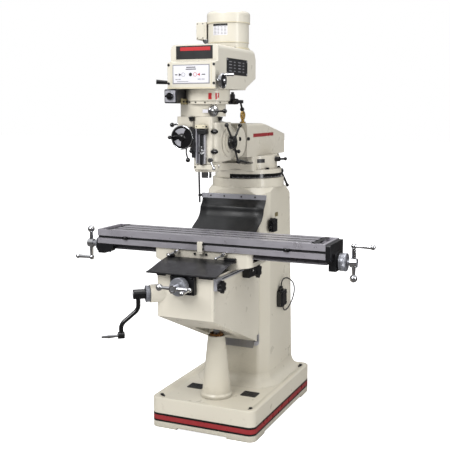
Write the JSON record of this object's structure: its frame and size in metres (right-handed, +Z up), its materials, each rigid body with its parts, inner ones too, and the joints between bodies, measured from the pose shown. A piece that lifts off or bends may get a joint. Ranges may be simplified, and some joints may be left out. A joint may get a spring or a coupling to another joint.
{
  "type": "vertical milling machine",
  "caption": "Knee-type vertical mill: column on a chip-pan base, hand-cranked knee, saddle and long slotted table under a sliding ram with a tilting belt-drive head.",
  "frame": {"origin": "centre of the base's footprint, on the floor", "axes": "+Z up, +X to the operator's right along the table, -Y towards the operator"},
  "size_m": [1.672, 1.304, 2.148],
  "materials": {
    "ivory_paint": "glossy ivory machine enamel over cast iron",
    "ground_steel": "ground and scraped way surfaces, oiled",
    "black_steel": "black oxide and black enamel on small steel parts",
    "chrome": "polished chrome plate",
    "rubber": "satin black nitrile sheet",
    "brass": "machined bronze nuts",
    "black_plastic": "moulded phenolic knobs and housings",
    "dial_metal": "satin anodised dials",
    "zinc_plate": "yellow passivated zinc",
    "machined_steel": "turned steel shafts and screws"
  },
  "bodies": {
    "root": {"column_base": "ivory_paint", "column_ways": "ground_steel", "pedestal": "ivory_paint", "elevating_nut": "brass", "guard_strip": "ivory_paint", "rear_guard": "rubber", "coolant_pipe": "black_steel", "column_boxes": "black_plastic", "cable_loop": "rubber"},
    "knee_body": {"knee": "ivory_paint", "knee_ways": "ground_steel", "cross_bracket": "black_steel", "stop_rail": "machined_steel"},
    "knee_knob": {"knee_lock_knob": "black_plastic"},
    "knee_clamp": {"knee_clamp_knob": "black_plastic"},
    "saddle_body": {"saddle": "ivory_paint", "front_guard": "rubber", "cross_nut": "brass", "table_nut": "brass"},
    "saddle_lever_left": {"saddle_lock_left": "chrome"},
    "saddle_lever_right": {"saddle_lock_right": "chrome"},
    "table_body": {"table": "ground_steel", "table_brackets": "ivory_paint"},
    "table_screw_body": {"table_screw": "machined_steel", "table_dials": "dial_metal", "table_cranks": "chrome"},
    "cross_screw_body": {"cross_screw": "machined_steel", "cross_dial": "dial_metal", "cross_crank": "chrome"},
    "knee_crank": {"knee_crank_shaft": "machined_steel", "knee_crank_dial": "dial_metal", "knee_crank_arm": "black_steel", "knee_crank_grip": "chrome"},
    "lift_screw": {"elevating_screw": "machined_steel"},
    "turret_body": {"turret": "ivory_paint"},
    "ram_lock": {"ram_lock_lever": "black_steel"},
    "turret_lock": {"turret_lock_lever": "black_steel"},
    "ram_body": {"ram": "ivory_paint", "lifting_eye": "zinc_plate"},
    "adapter_body": {"ram_adapter": "ivory_paint"},
    "head_body": {"head_casting": "ivory_paint", "gear_housing": "ivory_paint", "drum": "ivory_paint", "belt_housing": "ivory_paint", "motor": "ivory_paint", "junction_box": "ivory_paint", "switch_box": "black_plastic", "quill_stop": "machined_steel", "drive_belt": "rubber"},
    "switch": {"switch_knob": "black_plastic"},
    "quill_body": {"quill": "chrome"},
    "spindle_body": {"spindle": "machined_steel"},
    "driven_pulley": {"spindle_pulley": "machined_steel"},
    "motor_shaft": {"motor_pulley": "machined_steel"},
    "feed_capstan": {"feed_hub": "black_plastic"},
    "fine_feed": {"fine_feed_wheel": "chrome"},
    "speed_control": {"speed_wheel": "chrome"},
    "range_body": {"range_lever": "black_plastic"},
    "quill_lock": {"quill_lock_lever": "chrome"},
    "brake": {"brake_lever": "black_plastic"}
  },
  "joints": [
    {"name": "knee_crank_turn", "type": "hinge", "parent": "knee_body", "child": "knee_crank", "pos_m": [-0.19, -0.632, 0.762], "axis": [-0.7828, -0.6222, 0], "range_deg": [-37458, 19818]},
    {"name": "knee_lift", "type": "slide", "parent": "root", "child": "knee_body", "axis": [0, 0, -1], "range_m": [-0.26416, 0.1397], "deforming": ["rear_guard"]},
    {"name": "lift_screw_turn", "type": "hinge", "parent": "knee_body", "child": "lift_screw", "pos_m": [0, -0.25, 0.5], "axis": [0, 0, 1], "range_deg": [-18721, 9901]},
    {"name": "cross_crank_turn", "type": "hinge", "parent": "knee_body", "child": "cross_screw_body", "pos_m": [0, -0.7, 0.821], "axis": [0, -1, 0], "range_deg": [-9378, 10818]},
    {"name": "saddle_travel", "type": "slide", "parent": "knee_body", "child": "saddle_body", "axis": [0, -1, 0], "range_m": [-0.13208, 0.1524], "deforming": ["front_guard"]},
    {"name": "table_crank_turn", "type": "hinge", "parent": "table_body", "child": "table_screw_body", "pos_m": [0, -0.324, 0.934], "axis": [1, 0, 0], "range_deg": [-24138, 20898]},
    {"name": "table_travel", "type": "slide", "parent": "saddle_body", "child": "table_body", "axis": [1, 0, 0], "range_m": [-0.34036, 0.29464]},
    {"name": "knee_lock_turn", "type": "hinge", "parent": "knee_body", "child": "knee_knob", "pos_m": [0.1683, -0.582, 0.818], "axis": [1, 0, 0], "range_deg": [-90, 180]},
    {"name": "knee_clamp_turn", "type": "hinge", "parent": "knee_body", "child": "knee_clamp", "pos_m": [0.1523, -0.125, 0.813], "axis": [1, 0, 0], "range_deg": [-90, 180]},
    {"name": "saddle_lock_left_turn", "type": "hinge", "parent": "saddle_body", "child": "saddle_lever_left", "pos_m": [-0.128, -0.455, 0.946], "axis": [0, -1, 0], "range_deg": [0, 35]},
    {"name": "saddle_lock_right_turn", "type": "hinge", "parent": "saddle_body", "child": "saddle_lever_right", "pos_m": [0.13, -0.455, 0.946], "axis": [0, -1, 0], "range_deg": [-35, 0]},
    {"name": "turret_swivel", "type": "hinge", "parent": "root", "child": "turret_body", "pos_m": [0, 0.18, 1.284], "axis": [0, 0, 1], "range_deg": [-180, 180]},
    {"name": "ram_lock_turn", "type": "hinge", "parent": "turret_body", "child": "ram_lock", "pos_m": [0.1613, 0.18, 1.384], "axis": [1, 0, 0], "range_deg": [-25, 50]},
    {"name": "turret_lock_turn", "type": "hinge", "parent": "turret_body", "child": "turret_lock", "pos_m": [0.12637, 0.31552, 1.31], "axis": [0.682, 0.7314, 0], "range_deg": [-30, 40]},
    {"name": "ram_slide", "type": "slide", "parent": "turret_body", "child": "ram_body", "axis": [0, -1, 0], "range_m": [-0.17, 0.13]},
    {"name": "head_nod", "type": "hinge", "parent": "ram_body", "child": "adapter_body", "pos_m": [0, -0.16, 1.489], "axis": [1, 0, 0], "range_deg": [-25, 45]},
    {"name": "head_tilt", "type": "hinge", "parent": "adapter_body", "child": "head_body", "pos_m": [0, -0.24, 1.489], "axis": [0, 1, 0], "range_deg": [-90, 90]},
    {"name": "switch_turn", "type": "hinge", "parent": "head_body", "child": "switch", "pos_m": [-0.097, -0.56, 1.715], "axis": [0, -1, 0], "range_deg": [-60, 60]},
    {"name": "feed_turn", "type": "hinge", "parent": "head_body", "child": "feed_capstan", "pos_m": [0.106, -0.306, 1.491], "axis": [-1, 0, 0], "range_deg": [-1, 459]},
    {"name": "quill_travel", "type": "slide", "parent": "head_body", "child": "quill_body", "axis": [0, 0, -1], "range_m": [0, 0.127]},
    {"name": "motor_turn", "type": "hinge", "parent": "head_body", "child": "motor_shaft", "pos_m": [0, -0.095, 1.9], "axis": [0, 0, 1], "continuous": true},
    {"name": "pulley_turn", "type": "hinge", "parent": "head_body", "child": "driven_pulley", "pos_m": [0, -0.365, 1.85], "axis": [0, 0, 1], "continuous": true},
    {"name": "spindle_turn", "type": "hinge", "parent": "quill_body", "child": "spindle_body", "pos_m": [0, -0.365, 1.5], "axis": [0, 0, 1], "continuous": true},
    {"name": "fine_feed_turn", "type": "hinge", "parent": "head_body", "child": "fine_feed", "pos_m": [-0.076, -0.478, 1.518], "axis": [0, -1, 0], "continuous": true},
    {"name": "speed_turn", "type": "hinge", "parent": "head_body", "child": "speed_control", "pos_m": [0.1263, -0.506, 1.786], "axis": [1, 0, 0], "range_deg": [-1440, 1440]},
    {"name": "range_turn", "type": "hinge", "parent": "head_body", "child": "range_body", "pos_m": [0.124, -0.312, 1.692], "axis": [1, 0, 0], "range_deg": [-12, 12]},
    {"name": "quill_lock_turn", "type": "hinge", "parent": "head_body", "child": "quill_lock", "pos_m": [0.07, -0.46, 1.41], "axis": [0, -1, 0], "range_deg": [-30, 40]},
    {"name": "brake_turn", "type": "hinge", "parent": "head_body", "child": "brake", "pos_m": [-0.1263, -0.43, 1.782], "axis": [-1, 0, 0], "range_deg": [-25, 25]}
  ],
  "couplings": [
    {"joint": "knee_crank_turn", "follows": "knee_lift", "rad_per_m": 2473.7},
    {"joint": "lift_screw_turn", "follows": "knee_lift", "rad_per_m": 1236.8},
    {"joint": "cross_crank_turn", "follows": "saddle_travel", "rad_per_m": 1236.8},
    {"joint": "table_crank_turn", "follows": "table_travel", "rad_per_m": 1236.8},
    {"joint": "feed_turn", "follows": "quill_travel", "rad_per_m": 62.893},
    {"joint": "pulley_turn", "follows": "motor_turn", "ratio": 0.88987},
    {"joint": "spindle_turn", "follows": "motor_turn", "ratio": 0.88987}
  ]
}
